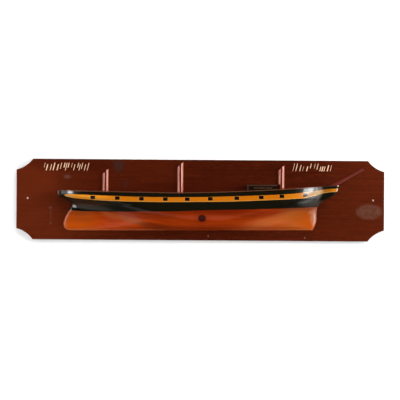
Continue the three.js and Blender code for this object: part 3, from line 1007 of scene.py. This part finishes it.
for node, (mast_x, mast_top) in masts.items():
    bpy.ops.mesh.primitive_cylinder_add(
        vertices=96,
        radius=mast_radius,
        depth=mast_blank_length,
        location=(mast_x, board_face, mast_top),
    )
    stump = bpy.context.object
    stump.name = "varnished_" + node
    bpy.ops.object.transform_apply(location=True, rotation=False, scale=False)
    cut_flat(stump, (mast_x, board_face, mast_top), (0, 1, 0))
    slant_direction = (-math.sin(mast_slant), 0, math.cos(mast_slant))
    cut_flat(stump, (mast_x, board_face, mast_top), slant_direction)
    cut_at_deck(stump, mast_x, mast_x - slope_reach, mast_x + slope_reach)
    ease_edges(stump, mast_edge_ease, 2, 40)
    smooth_faces(stump, 10)
    wear(stump, red_mahogany)
    stand_for(stump, node)

# The bowsprit
# A tapered half round of the same red mahogany, glued to the board.
# Its foot is cut to the line of the head's rail and stands on it.
sprit_heel_x = 0.424
sprit_heel_z = 0.0415
sprit_length = 0.134
sprit_steeve = math.radians(29.3)
sprit_heel_radius = 0.0068
sprit_tip_radius = 0.0046

direction = Vector((math.cos(sprit_steeve), 0, math.sin(sprit_steeve)))
bpy.ops.mesh.primitive_cone_add(
    vertices=96,
    radius1=sprit_heel_radius,
    radius2=sprit_tip_radius,
    depth=sprit_length,
    location=Vector((sprit_heel_x, board_face, sprit_heel_z)) + direction * sprit_length / 2,
    rotation=(0, math.pi / 2 - sprit_steeve, 0),
)
bowsprit = bpy.context.object
bowsprit.name = "varnished_bowsprit"
bpy.ops.object.transform_apply(location=True, rotation=True, scale=True)
cut_flat(bowsprit, (0, board_face, 0), (0, 1, 0))
below_head_rail = over_head(
    "below_head_rail", lambda x: 0, lambda x: rail_top(x) + glue_gap, sprit_heel_radius
)
apply_modifier(bowsprit, "BOOLEAN", operation="DIFFERENCE", object=below_head_rail, solver="EXACT")
remove(below_head_rail)
smooth_faces(bowsprit, 35)

sprit_wood = Finish("bowsprit_mahogany")
along_sprit = sprit_wood.add(
    "ShaderNodeVectorRotate",
    {},
    {"Vector": sprit_wood.place(), "Axis": (0, 1, 0), "Angle": sprit_steeve},
)
sprit_grain = sprit_wood.noise(sprit_wood.stretched(along_sprit, (4, 60, 60)), 7, 4, 0.6)
sprit_wood.surface(
    Base_Color=sprit_wood.blend(sprit_grain, (0.080, 0.0075, 0.0035), (0.12, 0.014, 0.007)),
    Roughness=0.34,
    Coat_Weight=0.5,
    Coat_Roughness=0.1,
)
wear(bowsprit, sprit_wood)
stand_for(bowsprit, "bowsprit")

# The deckhouse
# A small block on the deck just abaft the fore stump, painted dark brown-black, with a cambered
# roof board over it. Its side has a door and three pale panels, and its after corner a pale post.
house_aft = 0.155
house_length = 0.097
house_roof = 0.0525
house_depth = 0.038
roof_thickness = 0.003
roof_overhang = 0.0015
roof_camber = 0.002
roof_edge_ease = 0.0006
crown_points = 13
trim_rise = 0.0006
trim_sink = 0.0005
panel_foot = 0.0382
panel_head = 0.0443
panels = [(0.1765, 0.1895), (0.1915, 0.2135), (0.2165, 0.237)]
door_aft = 0.1675
door_fore = 0.1735
door_head = 0.0455
door_above_deck = 0.003
post_width = 0.004
post_depth = 0.004
post_above_deck = 0.001

house_top = house_roof - roof_camber - roof_thickness
house_fore = house_aft + house_length
house_front = board_face - house_depth


def block(name, low, high):
    size = Vector(high) - Vector(low)
    bpy.ops.mesh.primitive_cube_add(size=1, location=(Vector(low) + Vector(high)) / 2, scale=size)
    piece = bpy.context.object
    piece.name = name
    bpy.ops.object.transform_apply(location=True, rotation=True, scale=True)
    return piece


walls = block("house_walls", (house_aft, house_front, 0), (house_fore, board_face, house_top))
cut_at_deck(walls, house_aft, house_aft, house_fore)
roof_rings = []
eaves = house_depth + roof_overhang
for end in (house_aft - roof_overhang, house_fore + roof_overhang):
    crown = [
        (end, board_face - eaves * share, house_roof - roof_camber * share ** 2)
        for share in np.linspace(0, 1, crown_points)
    ]
    roof_rings.append([*crown, (end, board_face - eaves, house_top), (end, board_face, house_top)])
roof = loft("house_roof", roof_rings)
ease_edges(roof, roof_edge_ease, 2, 40)
trim_front = house_front - trim_rise
trim_back = house_front + trim_sink
panel_blocks = [
    block("house_panel", (aft, trim_front, panel_foot), (fore, trim_back, panel_head))
    for aft, fore in panels
]
aft_floor = deck_floor(house_aft)
door = block(
    "house_door",
    (door_aft, trim_front, aft_floor + door_above_deck),
    (door_fore, trim_back, door_head),
)
post = block(
    "house_post",
    (house_aft - trim_sink, trim_front, aft_floor + post_above_deck),
    (house_aft + post_width, house_front + post_depth, house_top),
)

house_paint = Finish("dark_house_paint")
house_cloud = house_paint.noise(house_paint.place(), 45, 3)
house_paint.surface(
    Base_Color=house_paint.blend(house_cloud, (0.004, 0.0015, 0.0006), (0.009, 0.0035, 0.0012)),
    Roughness=0.5,
    Specular_IOR_Level=0.05,
)
panel_paint = Finish("pale_panel_paint")
panel_paint.surface(Base_Color=(0.036, 0.018, 0.011), Roughness=0.4, Specular_IOR_Level=0.2)
roof_finish = Finish("house_roof_wood")
roof_grain = roof_finish.noise(roof_finish.stretched(roof_finish.place(), (3, 40, 40)), 10, 3)
roof_finish.surface(
    Base_Color=roof_finish.blend(roof_grain, (0.035, 0.016, 0.009), (0.06, 0.028, 0.017)),
    Roughness=0.4,
    Specular_IOR_Level=0.2,
)
wear(roof, roof_finish)
for piece in (walls, door):
    wear(piece, house_paint)
for piece in (post, *panel_blocks):
    wear(piece, panel_paint)


def join(name, first, others):
    """Joins the others to the first piece, under a new name."""
    select_only(first)
    for piece in others:
        piece.select_set(True)
    bpy.ops.object.join()
    first.name = name
    return first


deckhouse = join("painted_deckhouse", walls, [roof, door, post, *panel_blocks])
smooth_faces(deckhouse, 30)
stand_for(deckhouse, "deckhouse")

# The painted inscriptions
# Two short rows in cream paint stand near the top of the board, one over the stern and one over
# the bow. Here they are rows of leaning strokes of uneven height, thinly raised like thick paint.
stroke_rise = 0.0002
stroke_lean = math.tan(math.radians(14))
stroke_widths = [0.05, 0.09, 0.13]
stroke_heights = [0.62, 0.8, 1.0]
two_stroke_share = 0.75
stroke_inset = 0.62
sign_gap = 0.35
cream = Finish("cream_paint")
cream.surface(Base_Color=(0.80, 0.52, 0.34), Roughness=0.4)


def stroke_row(name, left, right, foot, head, signs, seed):
    """A row of signs of two or three leaning strokes, which stand on its foot or hang from its head."""
    random = np.random.default_rng(seed)
    pitch = (right - left) / signs
    height = head - foot
    strokes = []
    for sign in range(signs):
        count = 2 if random.random() < two_stroke_share else 3
        for stroke in range(count):
            middle = left + pitch * (sign + (stroke + stroke_inset) / (count + sign_gap))
            width = pitch * random.choice(stroke_widths)
            reach = height * random.choice(stroke_heights)
            low = foot if random.random() < 0.5 else head - reach
            high = low + reach
            shift_low = (low - foot - height / 2) * stroke_lean
            shift_high = (high - foot - height / 2) * stroke_lean
            bar = block(name, (-width / 2, -stroke_rise, low), (width / 2, 0, high))
            for bar_corner in bar.data.vertices:
                lean = shift_low if bar_corner.co.z < (low + high) / 2 else shift_high
                bar_corner.co.x += middle + lean
                bar_corner.co.y += board_face
            strokes.append(bar)
    row = join(name, strokes[0], strokes[1:])
    wear(row, cream)
    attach(row, "root")


stroke_row("stern_inscription", -0.524, -0.366, 0.0955, 0.1205, 7, 3)
stroke_row("bow_inscription", 0.303, 0.440, 0.0985, 0.1235, 6, 8)
